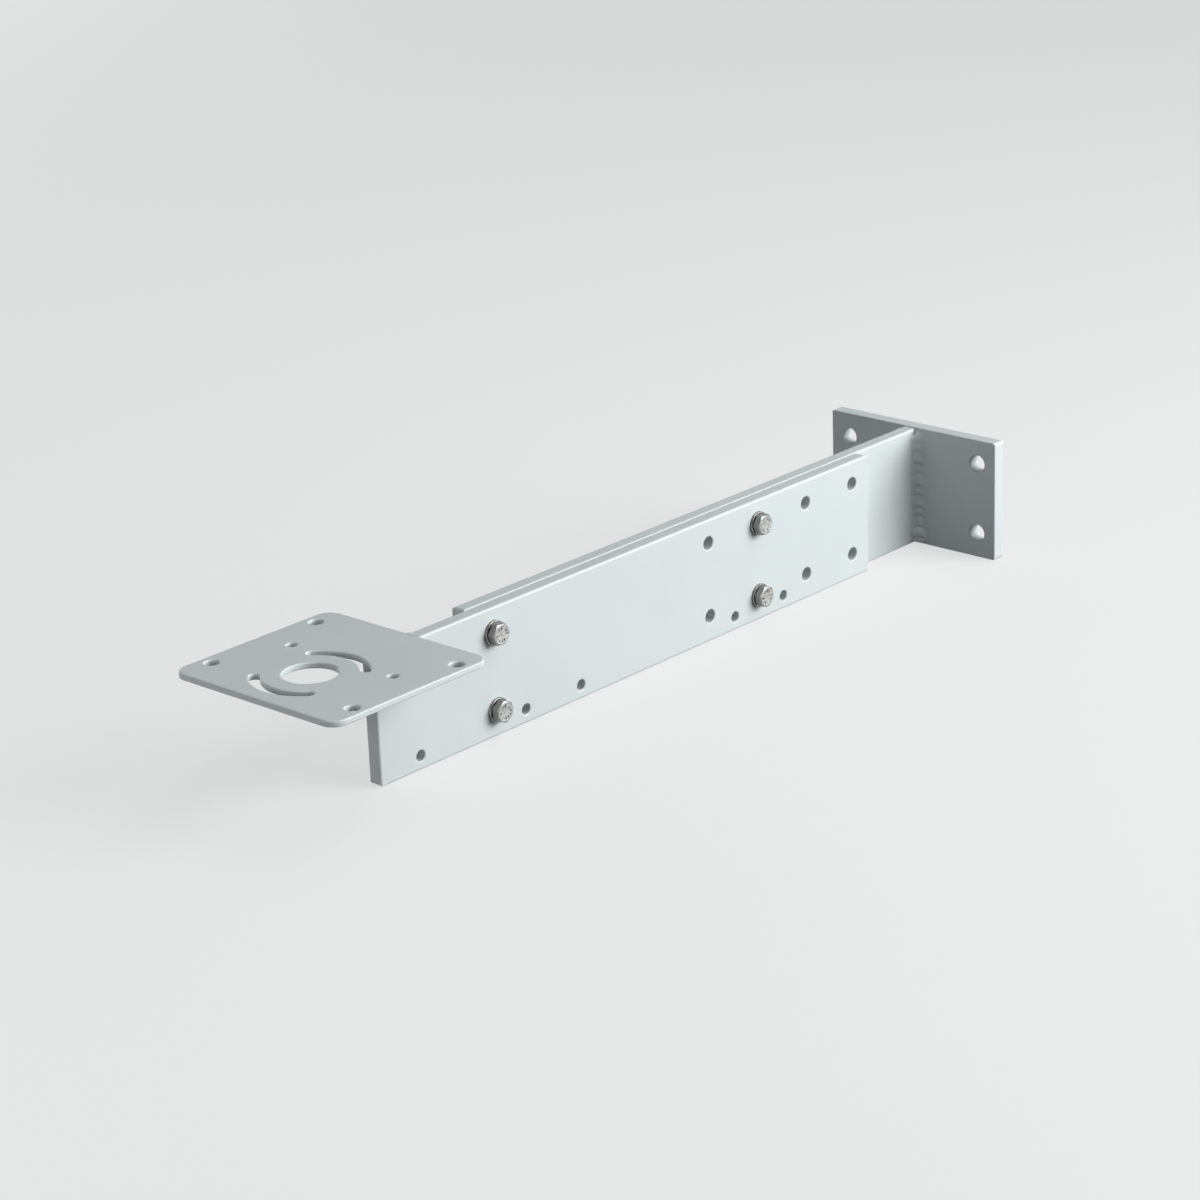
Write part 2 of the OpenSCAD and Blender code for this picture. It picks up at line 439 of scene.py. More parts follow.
def link_mesh(name: str, mesh: bpy.types.Mesh) -> bpy.types.Object:
    """Puts a mesh into the scene.

    Args:
        name: The object's name.
        mesh: Its mesh, in the frame's place.

    Returns:
        The object, at the origin.
    """
    mesh.name = name
    piece = bpy.data.objects.new(name, mesh)
    bpy.context.scene.collection.objects.link(piece)
    return piece


def grow(name: str, tree: bpy.types.NodeTree, values: dict, place: Matrix) -> bpy.types.Object:
    """Runs a Geometry Nodes tree once and keeps its result as a plain mesh.

    Args:
        name: The new piece's name.
        tree: The tree, whose inputs are named.
        values: The value of each named input.
        place: Where the result goes in the frame.

    Returns:
        The piece, without a modifier.
    """
    seed = link_mesh(name + "_seed", bpy.data.meshes.new(name + "_seed"))
    modifier = seed.modifiers.new("grow", "NODES")
    modifier.node_group = tree
    for item in tree.interface.items_tree:
        if item.in_out == "INPUT" and item.name in values:
            modifier[item.identifier] = values[item.name]
    graph = bpy.context.evaluated_depsgraph_get()
    mesh = bpy.data.meshes.new_from_object(seed.evaluated_get(graph))
    seed.modifiers.remove(modifier)
    bpy.data.objects.remove(seed)
    mesh.transform(place)
    return link_mesh(name, mesh)


def new_tree(name: str, inputs: dict[str, str]) -> tuple[bpy.types.NodeTree, bpy.types.Node]:
    """Makes an empty Geometry Nodes tree with named inputs and a geometry output.

    Args:
        name: The tree's name.
        inputs: Each input's name and socket type.

    Returns:
        The tree and its input node.
    """
    tree = bpy.data.node_groups.new(name, "GeometryNodeTree")
    tree.interface.new_socket("Geometry", in_out="OUTPUT", socket_type="NodeSocketGeometry")
    for label, kind in inputs.items():
        tree.interface.new_socket(label, in_out="INPUT", socket_type=kind)
    return tree, add_node(tree, "NodeGroupInput")


def finish_tree(
    tree: bpy.types.NodeTree, geometry: bpy.types.Node, material: bpy.types.NodeSocket
) -> None:
    """Ends a tree in real geometry with its material.

    Args:
        tree: The tree.
        geometry: The node that gives the geometry that the tree has made.
        material: The socket that holds the material.
    """
    real = add_node(tree, "GeometryNodeRealizeInstances", inputs={"Geometry": geometry})
    dressed = add_node(tree, "GeometryNodeSetMaterial", inputs={"Geometry": real, "Material": material})
    add_node(tree, "NodeGroupOutput", inputs={0: dressed})


# The weld bead's form. Lengths are in metres and the notch's angle is in radians. The skew and the
# swell are powers, and TOE_RIPPLE, SMOOTH_RIPPLE and END_SHARE are shares of the full form
SECTION_POINTS = 40
WANDER_LENGTH = 9 * MM
RIPPLE_DRIFT = 4 * MM
RIPPLE_SKEW = 0.72
RIPPLE_SWELL = 0.8
TOE_RIPPLE = 0.15
SMOOTH_RIPPLE = 0.1
PUDDLE_FROM = 2 * MM
PUDDLE_TO = 16 * MM
NOTCH_ANGLE = 1.1
END_SHARE = 0.12
OFF_THE_FACE = 1e-6


def weld_bead_tree() -> bpy.types.NodeTree:
    """Builds the tree of a fillet weld bead along +Z, in the corner of the +X and +Y planes.

    A quarter-round section is swept along the corner. Its points then move in or out: the face is
    hollowed, the toes run out softly, the ends round off, the width wanders, and overlapping
    ripples bow upwards across the bead.

    Returns:
        The tree.
    """
    tree, given = new_tree(
        "weld_bead",
        {
            "Length": FLOAT,
            "Leg X": FLOAT,
            "Leg Y": FLOAT,
            "Ripple Pitch": FLOAT,
            "Ripple Height": FLOAT,
            "Ripple Bow": FLOAT,
            "Ripple Start": FLOAT,
            "Smooth Start": FLOAT,
            "Run Out": FLOAT,
            "Face Power": FLOAT,
            "Wander": FLOAT,
            "Puddle": FLOAT,
            "Notch": FLOAT,
            "Step": FLOAT,
            "Seed": FLOAT,
            "Material": "NodeSocketMaterial",
        },
    )
    sockets = given.outputs
    end = add_node(tree, "ShaderNodeCombineXYZ", inputs={"Z": sockets["Length"]})
    line = add_node(tree, "GeometryNodeCurvePrimitiveLine", inputs={"End": end})
    path = add_node(
        tree,
        "GeometryNodeResampleCurve",
        {"mode": "LENGTH"},
        {"Curve": line, "Length": sockets["Step"]},
    )
    section = add_node(
        tree,
        "GeometryNodeCurveArc",
        {"mode": "RADIUS"},
        {
            "Resolution": SECTION_POINTS,
            "Radius": 1.0,
            "Start Angle": 0.0,
            "Sweep Angle": math.pi / 2,
            "Connect Center": True,
        },
    )
    sweep = add_node(
        tree,
        "GeometryNodeCurveToMesh",
        inputs={"Curve": path, "Profile Curve": section, "Fill Caps": True},
    )
    position = add_node(tree, "GeometryNodeInputPosition")
    axes = add_node(tree, "ShaderNodeSeparateXYZ", inputs={0: position})
    angle = add_node(tree, MATH, {"operation": "ARCTAN2"}, {0: axes.outputs["Y"], 1: axes.outputs["X"]})
    doubled = add_node(tree, MATH, {"operation": "MULTIPLY"}, {0: angle, 1: 2.0})
    middle = add_node(tree, MATH, {"operation": "SINE"}, {0: doubled})
    # The face is a superellipse: at a power of 1 it is flat, below 1 it is hollow with thin toes
    powers = []
    for wave_kind in ("COSINE", "SINE"):
        wave_part = add_node(tree, MATH, {"operation": wave_kind}, {0: angle})
        kept = add_node(tree, MATH, {"operation": "MAXIMUM"}, {0: wave_part, 1: 0.0})
        power = {0: kept, 1: sockets["Face Power"]}
        powers.append(add_node(tree, MATH, {"operation": "POWER"}, power))
    total = add_node(tree, MATH, {"operation": "ADD"}, {0: powers[0], 1: powers[1]})
    root = add_node(tree, MATH, {"operation": "DIVIDE"}, {0: -1.0, 1: sockets["Face Power"]})
    face = add_node(tree, MATH, {"operation": "POWER"}, {0: total, 1: root})
    # Slow changes of width along the bead
    drawn = add_node(
        tree, "ShaderNodeCombineXYZ", inputs={"X": axes.outputs["Z"], "Y": sockets["Seed"]}
    )
    wave = add_node(
        tree,
        "ShaderNodeTexNoise",
        {"noise_dimensions": "2D"},
        {"Vector": drawn, "Scale": 1 / WANDER_LENGTH, "Detail": 1.0},
    )
    centred = add_node(tree, MATH, {"operation": "SUBTRACT"}, {0: wave, 1: 0.5})
    wander = add_node(tree, MATH, {"operation": "MULTIPLY"}, {0: centred, 1: sockets["Wander"]})
    # Ripples: shells that swell out under a sharp bowed crease and then draw in towards the next
    bow = add_node(
        tree,
        MATH,
        {"operation": "MULTIPLY_ADD"},
        {0: middle, 1: sockets["Ripple Bow"], 2: sockets["Ripple Start"]},
    )
    along = add_node(tree, MATH, {"operation": "SUBTRACT"}, {0: axes.outputs["Z"], 1: bow})
    drift = add_node(tree, MATH, {"operation": "MULTIPLY_ADD"}, {0: centred, 1: RIPPLE_DRIFT, 2: along})
    turns = add_node(tree, MATH, {"operation": "DIVIDE"}, {0: drift, 1: sockets["Ripple Pitch"]})
    phase = add_node(tree, MATH, {"operation": "FRACT"}, {0: turns})
    skewed = add_node(tree, MATH, {"operation": "POWER"}, {0: phase, 1: RIPPLE_SKEW})
    half_turn = add_node(tree, MATH, {"operation": "MULTIPLY"}, {0: skewed, 1: math.pi})
    arch = add_node(tree, MATH, {"operation": "SINE", "use_clamp": True}, {0: half_turn})
    shell = add_node(tree, MATH, {"operation": "POWER"}, {0: arch, 1: RIPPLE_SWELL})
    fade = add_node(
        tree, MATH, {"operation": "MULTIPLY_ADD"}, {0: middle, 1: 1 - TOE_RIPPLE, 2: TOE_RIPPLE}
    )
    strewn = add_node(tree, MATH, {"operation": "MULTIPLY"}, {0: shell, 1: fade})
    # The first stretch, at the upper end, was laid hot and is smooth
    top_gap = add_node(
        tree, MATH, {"operation": "SUBTRACT"}, {0: sockets["Length"], 1: axes.outputs["Z"]}
    )
    settled = add_node(
        tree,
        "ShaderNodeMapRange",
        {"interpolation_type": "SMOOTHSTEP"},
        {"Value": top_gap, "From Max": sockets["Smooth Start"], "To Min": SMOOTH_RIPPLE, "To Max": 1.0},
    )
    ripple = add_node(tree, MATH, {"operation": "MULTIPLY"}, {0: strewn, 1: settled})
    height = add_node(
        tree, MATH, {"operation": "DIVIDE"}, {0: sockets["Ripple Height"], 1: sockets["Leg Y"]}
    )
    raised = add_node(tree, MATH, {"operation": "MULTIPLY_ADD"}, {0: ripple, 1: height, 2: wander})
    # The last puddle, at the lower end, is wider than the rest
    puddle = add_node(
        tree,
        "ShaderNodeMapRange",
        {"interpolation_type": "SMOOTHSTEP"},
        {
            "Value": axes.outputs["Z"],
            "From Min": PUDDLE_FROM,
            "From Max": PUDDLE_TO,
            "To Min": sockets["Puddle"],
            "To Max": 0.0,
        },
    )
    swollen = add_node(tree, MATH, {"operation": "ADD"}, {0: raised, 1: puddle})
    body = add_node(tree, MATH, {"operation": "ADD"}, {0: swollen, 1: face})
    # Both ends round off, and on the X side the upper end stops short and leaves a notch
    notch = add_node(
        tree,
        "ShaderNodeMapRange",
        {"interpolation_type": "SMOOTHSTEP"},
        {"Value": angle, "From Max": NOTCH_ANGLE, "To Min": sockets["Notch"], "To Max": 0.0},
    )
    notched = add_node(tree, MATH, {"operation": "SUBTRACT"}, {0: top_gap, 1: notch})
    nearest = add_node(tree, MATH, {"operation": "MINIMUM"}, {0: notched, 1: axes.outputs["Z"]})
    short = add_node(
        tree,
        "ShaderNodeMapRange",
        inputs={"Value": nearest, "From Max": sockets["Run Out"], "To Min": 1.0, "To Max": 0.0},
    )
    squared = add_node(tree, MATH, {"operation": "POWER"}, {0: short, 1: 2.0})
    rest = add_node(tree, MATH, {"operation": "SUBTRACT"}, {0: 1.0, 1: squared})
    rounded = add_node(tree, MATH, {"operation": "SQRT"}, {0: rest})
    ends = add_node(
        tree, "ShaderNodeMapRange", inputs={"Value": rounded, "To Min": END_SHARE, "To Max": 1.0}
    )
    scale = add_node(tree, MATH, {"operation": "MULTIPLY"}, {0: body, 1: ends})
    reach_x = add_node(tree, MATH, {"operation": "MULTIPLY"}, {0: scale, 1: sockets["Leg X"]})
    reach_y = add_node(tree, MATH, {"operation": "MULTIPLY"}, {0: scale, 1: sockets["Leg Y"]})
    across = add_node(tree, "ShaderNodeCombineXYZ", inputs={"X": reach_x, "Y": reach_y, "Z": 1.0})
    moved = add_node(tree, "ShaderNodeVectorMath", {"operation": "MULTIPLY"}, {0: position, 1: across})
    bead = add_node(tree, "GeometryNodeSetPosition", inputs={"Geometry": sweep, "Position": moved})
    # Only the face is smooth. The flat sides against the steel and the ends don't bend its normals
    inside = top_gap
    for label in ("X", "Y", "Z"):
        inside = add_node(tree, MATH, {"operation": "MINIMUM"}, {0: inside, 1: axes.outputs[label]})
    on_face = add_node(
        tree,
        "FunctionNodeCompare",
        {"data_type": "FLOAT", "operation": "GREATER_THAN"},
        {"A": inside, "B": OFF_THE_FACE},
    )
    smooth = add_node(
        tree, "GeometryNodeSetShadeSmooth", inputs={"Geometry": bead, "Shade Smooth": on_face}
    )
    finish_tree(tree, smooth, sockets["Material"])
    return tree


# The thread's section: half its width at the foot and at the crest as shares of the pitch, how far
# its foot reaches into the core, and how many steps make one turn
THREAD_FOOT = 0.46
THREAD_CREST = 0.08
THREAD_SINK = 0.1 * MM
TURN_STEPS = 40


def thread_tree() -> bpy.types.NodeTree:
    """Builds the tree of a rolled thread along +Z from 0, cut back to a cone at its far end.

    Returns:
        The tree.
    """
    tree, given = new_tree(
        "rolled_thread",
        {
            "Root Radius": FLOAT,
            "Crest Radius": FLOAT,
            "Pitch": FLOAT,
            "Length": FLOAT,
            "End Radius": FLOAT,
            "Material": "NodeSocketMaterial",
        },
    )
    sockets = given.outputs
    turns = add_node(tree, MATH, {"operation": "DIVIDE"}, {0: sockets["Length"], 1: sockets["Pitch"]})
    helix = add_node(
        tree,
        "GeometryNodeCurveSpiral",
        inputs={
            "Resolution": TURN_STEPS,
            "Rotations": turns,
            "Start Radius": sockets["Root Radius"],
            "End Radius": sockets["Root Radius"],
            "Height": sockets["Length"],
        },
    )
    upright = add_node(tree, "GeometryNodeSetCurveNormal", {"mode": "Z_UP"}, {"Curve": helix})
    half = add_node(tree, MATH, {"operation": "MULTIPLY"}, {0: sockets["Pitch"], 1: THREAD_FOOT})
    crest = add_node(tree, MATH, {"operation": "MULTIPLY"}, {0: sockets["Pitch"], 1: THREAD_CREST})
    depth = add_node(
        tree, MATH, {"operation": "SUBTRACT"}, {0: sockets["Crest Radius"], 1: sockets["Root Radius"]}
    )
    points = {}
    for label, x, y, sign in (
        ("Point 1", -THREAD_SINK, half, 1.0),
        ("Point 2", -THREAD_SINK, half, -1.0),
        ("Point 3", depth, crest, -1.0),
        ("Point 4", depth, crest, 1.0),
    ):
        height = add_node(tree, MATH, {"operation": "MULTIPLY"}, {0: y, 1: sign})
        points[label] = add_node(tree, "ShaderNodeCombineXYZ", inputs={"X": x, "Y": height})
    profile = add_node(tree, "GeometryNodeCurvePrimitiveQuadrilateral", {"mode": "POINTS"}, points)
    ridge = add_node(
        tree,
        "GeometryNodeCurveToMesh",
        inputs={"Curve": upright, "Profile Curve": profile, "Fill Caps": True},
    )
    # No point stands further out than the cone at the far end allows
    position = add_node(tree, "GeometryNodeInputPosition")
    axes = add_node(tree, "ShaderNodeSeparateXYZ", inputs={0: position})
    flat = add_node(
        tree, "ShaderNodeVectorMath", {"operation": "MULTIPLY"}, {0: position, 1: (1.0, 1.0, 0.0)}
    )
    radius = add_node(tree, "ShaderNodeVectorMath", {"operation": "LENGTH"}, {0: flat})
    left = add_node(tree, MATH, {"operation": "SUBTRACT"}, {0: sockets["Length"], 1: axes.outputs["Z"]})
    limit = add_node(tree, MATH, {"operation": "ADD"}, {0: left, 1: sockets["End Radius"]})
    share = add_node(tree, MATH, {"operation": "DIVIDE"}, {0: limit, 1: radius.outputs["Value"]})
    capped = add_node(tree, MATH, {"operation": "MINIMUM"}, {0: share, 1: 1.0})
    across = add_node(tree, "ShaderNodeCombineXYZ", inputs={"X": capped, "Y": capped, "Z": 1.0})
    moved = add_node(tree, "ShaderNodeVectorMath", {"operation": "MULTIPLY"}, {0: position, 1: across})
    cut = add_node(tree, "GeometryNodeSetPosition", inputs={"Geometry": ridge, "Position": moved})
    finish_tree(tree, cut, sockets["Material"])
    return tree


# How far a tick is twisted, in radians, and the least and the most that its size is scaled by
TICK_TWIST = 0.5
TICK_LEAST = (0.5, 0.8, 1.0)
TICK_MOST = (1.3, 1.4, 1.0)


def head_marks_tree() -> bpy.types.NodeTree:
    """Builds the tree of the plain raised ticks that stand in a ring on a bolt head, about +Z.

    Returns:
        The tree.
    """
    tree, given = new_tree(
        "head_marks",
        {
            "Ring Radius": FLOAT,
            "Places": "NodeSocketInt",
            "Tick Size": "NodeSocketVector",
            "Share": FLOAT,
            "Seed": "NodeSocketInt",
            "Material": "NodeSocketMaterial",
        },
    )
    sockets = given.outputs
    ring = add_node(
        tree,
        "GeometryNodeMeshCircle",
        inputs={"Vertices": sockets["Places"], "Radius": sockets["Ring Radius"]},
    )
    tick = add_node(tree, "GeometryNodeMeshCube", inputs={"Size": sockets["Tick Size"]})
    outward = add_node(tree, "GeometryNodeInputPosition")
    facing = add_node(
        tree, "FunctionNodeAlignRotationToVector", {"axis": "Y", "pivot_axis": "Z"}, {"Vector": outward}
    )
    twist = add_node(
        tree,
        "FunctionNodeRandomValue",
        {"data_type": "FLOAT"},
        {2: -TICK_TWIST, 3: TICK_TWIST, "Seed": sockets["Seed"]},
    )
    spin = add_node(
        tree,
        "FunctionNodeAxisAngleToRotation",
        inputs={"Axis": (0.0, 0.0, 1.0), "Angle": twist.outputs[1]},
    )
    turn = add_node(
        tree,
        "FunctionNodeRotateRotation",
        {"rotation_space": "LOCAL"},
        {"Rotation": facing, "Rotate By": spin},
    )
    size = add_node(
        tree,
        "FunctionNodeRandomValue",
        {"data_type": "FLOAT_VECTOR"},
        {0: TICK_LEAST, 1: TICK_MOST, "Seed": sockets["Seed"]},
    )
    chosen = add_node(
        tree,
        "FunctionNodeRandomValue",
        {"data_type": "BOOLEAN"},
        {"Probability": sockets["Share"], "Seed": sockets["Seed"]},
    )
    ticks = add_node(
        tree,
        "GeometryNodeInstanceOnPoints",
        inputs={
            "Points": ring,
            "Selection": chosen.outputs[3],
            "Instance": tick,
            "Rotation": turn,
            "Scale": size,
        },
    )
    finish_tree(tree, ticks, sockets["Material"])
    return tree


def face_outwards(mesh: bpy.types.Mesh) -> None:
    """Merges a mesh's doubles and turns its faces outwards.

    Args:
        mesh: A closed mesh.
    """
    work = bmesh.new()
    work.from_mesh(mesh)
    bmesh.ops.remove_doubles(work, verts=work.verts, dist=MERGE_DISTANCE)
    bmesh.ops.recalc_face_normals(work, faces=work.faces)
    work.to_mesh(mesh)
    work.free()


@dataclass(frozen=True)
class WeldBead:
    """The form of a fillet weld bead."""

    ripple_pitch_mm: float
    ripple_height_mm: float
    ripple_bow_mm: float
    smooth_start_mm: float
    run_out_mm: float
    face_power: float
    wander: float
    step_mm: float
    ripple_start_mm: float = 0.0
    overrun_mm: float = 0.0
    notch_mm: float = 0.0
    puddle: float = 0.0

    def lay(
        self,
        node: str,
        size: tuple[float, float, float],
        place: Matrix,
        seed: float,
        tree: bpy.types.NodeTree,
        coat: bpy.types.Material,
    ) -> None:
        """Lays the bead where a CAD weld is.

        Args:
            node: The CAD weld's node.
            size: The bead's legs along its own X and Y, and its length along Z.
            place: The matrix from the bead's own axes to the frame.
            seed: The seed of its wandering width.
            tree: The weld bead's tree.
            coat: The powder coat.
        """
        values = {
            "Leg X": size[0],
            "Leg Y": size[1],
            "Length": size[2],
            "Ripple Pitch": self.ripple_pitch_mm * MM,
            "Ripple Height": self.ripple_height_mm * MM,
            "Ripple Bow": self.ripple_bow_mm * MM,
            "Ripple Start": self.ripple_start_mm * MM,
            "Smooth Start": self.smooth_start_mm * MM,
            "Run Out": self.run_out_mm * MM,
            "Face Power": self.face_power,
            "Wander": self.wander,
            "Puddle": self.puddle,
            "Notch": self.notch_mm * MM,
            "Step": self.step_mm * MM,
            "Seed": seed,
            "Material": coat,
        }
        piece = grow(node + "_bead", tree, values, place)
        face_outwards(piece.data)
        mount(piece, Slot.WELD, node)


# Long runs of a large electrode, with a cold wide last puddle at the lower end
FLANGE_BEAD = WeldBead(
    ripple_pitch_mm=7.7,
    ripple_height_mm=2.1,
    ripple_bow_mm=1.8,
    smooth_start_mm=15.0,
    run_out_mm=2.0,
    face_power=0.72,
    wander=0.2,
    step_mm=0.3,
    ripple_start_mm=2.0,
    overrun_mm=1.8,
    notch_mm=3.0,
    puddle=0.32,
)
# A small, even bead along the thin plate
PLATE_BEAD = WeldBead(
    ripple_pitch_mm=4.0,
    ripple_height_mm=0.5,
    ripple_bow_mm=0.9,
    smooth_start_mm=4.0,
    run_out_mm=2.0,
    face_power=0.75,
    wander=0.2,
    step_mm=0.25,
)


@dataclass
class WallBracket:
    """The wall flange and the wall bar, with the two fillet welds that join them."""

    bead: WeldBead = FLANGE_BEAD
    seeds: dict[Side, float] = field(default_factory=lambda: {Side.NEAR: 0.4, Side.FAR: 2.9})

    def build(self, coat: bpy.types.Material, tree: bpy.types.NodeTree) -> None:
        """Dresses the flange and the bar and lays the two weld beads.

        Args:
            coat: The powder coat.
            tree: The weld bead's tree.
        """
        for name in ("wall_flange", "wall_bar"):
            dress(name, coat)
        for side in Side:
            node = f"flange_weld_{side.name.lower()}"
            low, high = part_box(node)
            overrun = self.bead.overrun_mm * MM
            corner = Vector((low.x, low.y if side is Side.NEAR else high.y, low.z - overrun))
            place = Matrix.Translation(corner) @ Matrix.Diagonal((1, side.value, 1, 1))
            size = (high.x - low.x, high.y - low.y, high.z - low.z + 2 * overrun)
            self.bead.lay(node, size, place, self.seeds[side], tree, coat)


@dataclass
class DeviceArm:
    """The device bar and the drilled plate in its step, with the welds between them."""

    bead: WeldBead = PLATE_BEAD
    seeds: dict[Side, float] = field(default_factory=lambda: {Side.NEAR: 5.2, Side.FAR: 7.7})

    def build(self, coat: bpy.types.Material, tree: bpy.types.NodeTree) -> None:
        """Dresses the bar, the plate and the seam weld, and lays the welds under the plate.

        Args:
            coat: The powder coat.
            tree: The weld bead's tree.
        """
        for name in ("device_bar", "device_plate", "plate_seam_weld"):
            dress(name, coat)
        for side in Side:
            node = f"plate_weld_{side.name.lower()}"
            low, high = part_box(node)
            corner = Vector((low.x, low.y if side is Side.NEAR else high.y, high.z))
            # The bead's Z runs along the arm, its X down the bar's face and its Y under the plate
            turn = Matrix(((0, 0, 1, 0), (0, side.value, 0, 0), (-1, 0, 0, 0), (0, 0, 0, 1)))
            size = (high.z - low.z, high.y - low.y, high.x - low.x)
            self.bead.lay(node, size, Matrix.Translation(corner) @ turn, self.seeds[side], tree, coat)


@dataclass
class ClampSet:
    """One bolt with its two washers and its nut, all on one axis along Y."""

    place: BoltPlace
    marks_seed: int
    across_flats_mm: float = 13.0
    thread_mm: float = 8.0
    pitch_mm: float = 1.25
    root_share: float = 0.82
    tip_bevel_mm: float = 0.6
    bearing_height_mm: float = 0.4
    sink_mm: float = 0.4
    # The chamfer leaves a round flat, a share of the width across flats. The bearing face, the top's
    # rim and its dish are shares of that flat
    chamfer_deg: float = 30.0
    flat_share: float = 0.93
    bearing_share: float = 0.94
    rim_share: float = 0.92
    dish_share: float = 0.8
    dish_mm: float = 0.12
    # How the edges are broken, and how far the flanks' painted shade covers the chamfer
    bevel_mm: float = 0.16
    bevel_segments: int = 3
    bevel_angle_deg: float = 25.0
    chamfer_cover: float = 0.85
    # The ring of ticks on the head
    mark_ring_mm: float = 4.1
    mark_size_mm: tuple[float, float, float] = (0.7, 1.1, 0.34)
    mark_places: int = 12
    mark_share: float = 0.65
    # Points along one side of the hexagon
    slices: int = 16

    def build(
        self,
        forged: bpy.types.Material,
        pickled: bpy.types.Material,
        stamped: bpy.types.Material,
        thread: bpy.types.NodeTree,
        marks: bpy.types.NodeTree,
    ) -> None:
        """Makes the bolt and the nut and dresses the washers.

        Args:
            forged: The steel of the bolt and nut.
            pickled: The dark steel of the ticks on the head, a painted shade.
            stamped: The steel of the washers.
            thread: The thread's tree.
            marks: The tree of the ticks on the head.
        """
        for kind in ("head_washer", "nut_washer"):
            dress(f"{kind}_{self.place.value}", stamped)
        self.bolt(forged, thread)
        self.head_marks(pickled, marks)
        self.nut(forged)

    def bolt(self, forged: bpy.types.Material, thread: bpy.types.NodeTree) -> None:
        """Makes the bolt's blank and its thread.

        Args:
            forged: The steel.
            thread: The thread's tree.
        """
        node = f"bolt_{self.place.value}"
        low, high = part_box(node)
        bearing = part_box(f"head_washer_{self.place.value}")[1].y
        head = high.y - bearing
        shank = bearing - low.y
        axis = Vector(((low.x + high.x) / 2, bearing, (low.z + high.z) / 2))
        place = self.head_place(axis)
        outline = self.hexagon(corner_angle(node, place))
        root = self.thread_mm * MM / 2 * self.root_share
        tip = root - self.tip_bevel_mm * MM
        bottom = self.bearing_height_mm * MM
        flat = self.flat_radius
        neck, rim, dish = flat * self.bearing_share, flat * self.rim_share, flat * self.dish_share
        floor = head - self.dish_mm * MM
        layers = [
            [(0.0, 0.0, -shank)],
            [(x * tip, y * tip, -shank) for x, y, _ in outline],
            [(x * root, y * root, -shank + (root - tip)) for x, y, _ in outline],
            [(x * root, y * root, 0.0) for x, y, _ in outline],
            [(x * neck, y * neck, 0.0) for x, y, _ in outline],
            [(x * neck, y * neck, bottom) for x, y, _ in outline],
            [(x * r, y * r, bottom) for x, y, r in outline],
            [(x * r, y * r, head - self.chamfer_drop(r)) for x, y, r in outline],
            [(x * flat, y * flat, head) for x, y, _ in outline],
            [(x * rim, y * rim, head) for x, y, _ in outline],
            [(x * dish, y * dish, floor) for x, y, _ in outline],
            [(0.0, 0.0, floor)],
        ]
        # Rings 6 and 7 bound the flanks and ring 8 is the top's edge: they carry the flanks' painted
        # shade
        piece = self.solid(
            node + "_blank", layers, {6: 1.0, 7: 1.0, 8: self.chamfer_cover}, place, forged
        )
        mount(piece, Slot.HEX, node)
        ridge = grow(
            node + "_thread",
            thread,
            {
                "Root Radius": root,
                "Crest Radius": self.thread_mm * MM / 2,
                "Pitch": self.pitch_mm * MM,
                "Length": shank - self.pitch_mm * MM,
                "End Radius": tip,
                "Material": forged,
            },
            place @ Matrix.Rotation(math.pi, 4, "X"),
        )
        face_outwards(ridge.data)
        mount(ridge, Slot.HEX)

    def head_place(self, axis: Vector) -> Matrix:
        """Places something whose own Z points out of the head, along +Y.

        Args:
            axis: Where its origin goes.

        Returns:
            The matrix from the head's axes to the frame.
        """
        return Matrix.Translation(axis) @ Matrix.Rotation(-math.pi / 2, 4, "X")

    def head_marks(self, pickled: bpy.types.Material, marks: bpy.types.NodeTree) -> None:
        """Sets a ring of plain ticks on the bolt's head.

        Args:
            pickled: The steel, dark as painted shade.
            marks: The tree of the ticks.
        """
        node = f"bolt_{self.place.value}"
        low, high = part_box(node)
        face = Vector(((low.x + high.x) / 2, high.y - self.dish_mm * MM, (low.z + high.z) / 2))
        ticks = grow(
            node + "_marks",
            marks,
            {
                "Ring Radius": self.mark_ring_mm * MM,
                "Places": self.mark_places,
                "Tick Size": tuple(v * MM for v in self.mark_size_mm),
                "Share": self.mark_share,
                "Seed": self.marks_seed,
                "Material": pickled,
            },
            self.head_place(face),
        )
        mount(ticks, Slot.HEX)

    def nut(self, forged: bpy.types.Material) -> None:
        """Makes the nut.

        Args:
            forged: The steel.
        """
        node = f"nut_{self.place.value}"
        low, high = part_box(node)
        height = high.y - low.y
        axis = Vector(((low.x + high.x) / 2, high.y, (low.z + high.z) / 2))
        # The nut's own Z points away from the bars, along -Y
        place = Matrix.Translation(axis) @ Matrix.Rotation(math.pi / 2, 4, "X")
        outline = self.hexagon(corner_angle(node, place))
        bore = self.thread_mm * MM / 2
        depth = self.sink_mm * MM
        sink = bore + depth
        flat = self.flat_radius
        layers = [
            [(x * bore, y * bore, depth) for x, y, _ in outline],
            [(x * sink, y * sink, 0.0) for x, y, _ in outline],
            [(x * flat, y * flat, 0.0) for x, y, _ in outline],
            [(x * r, y * r, self.chamfer_drop(r)) for x, y, r in outline],
            [(x * r, y * r, height - self.chamfer_drop(r)) for x, y, r in outline],
            [(x * flat, y * flat, height) for x, y, _ in outline],
            [(x * sink, y * sink, height) for x, y, _ in outline],
            [(x * bore, y * bore, height - depth) for x, y, _ in outline],
        ]
        # Rings 3 and 4 bound the nut's flanks, which carry the painted shade
        piece = self.solid(node + "_body", [*layers, layers[0]], {3: 1.0, 4: 1.0}, place, forged)
        mount(piece, Slot.HEX, node)

    @property
    def flat_radius(self) -> float:
        """The radius of the round flat that the chamfer leaves on a hexagon's end."""
        return self.across_flats_mm * MM / 2 * self.flat_share

    def chamfer_drop(self, radius: float) -> float:
        """The chamfer's depth at a radius."""
        return (radius - self.flat_radius) * math.tan(math.radians(self.chamfer_deg))

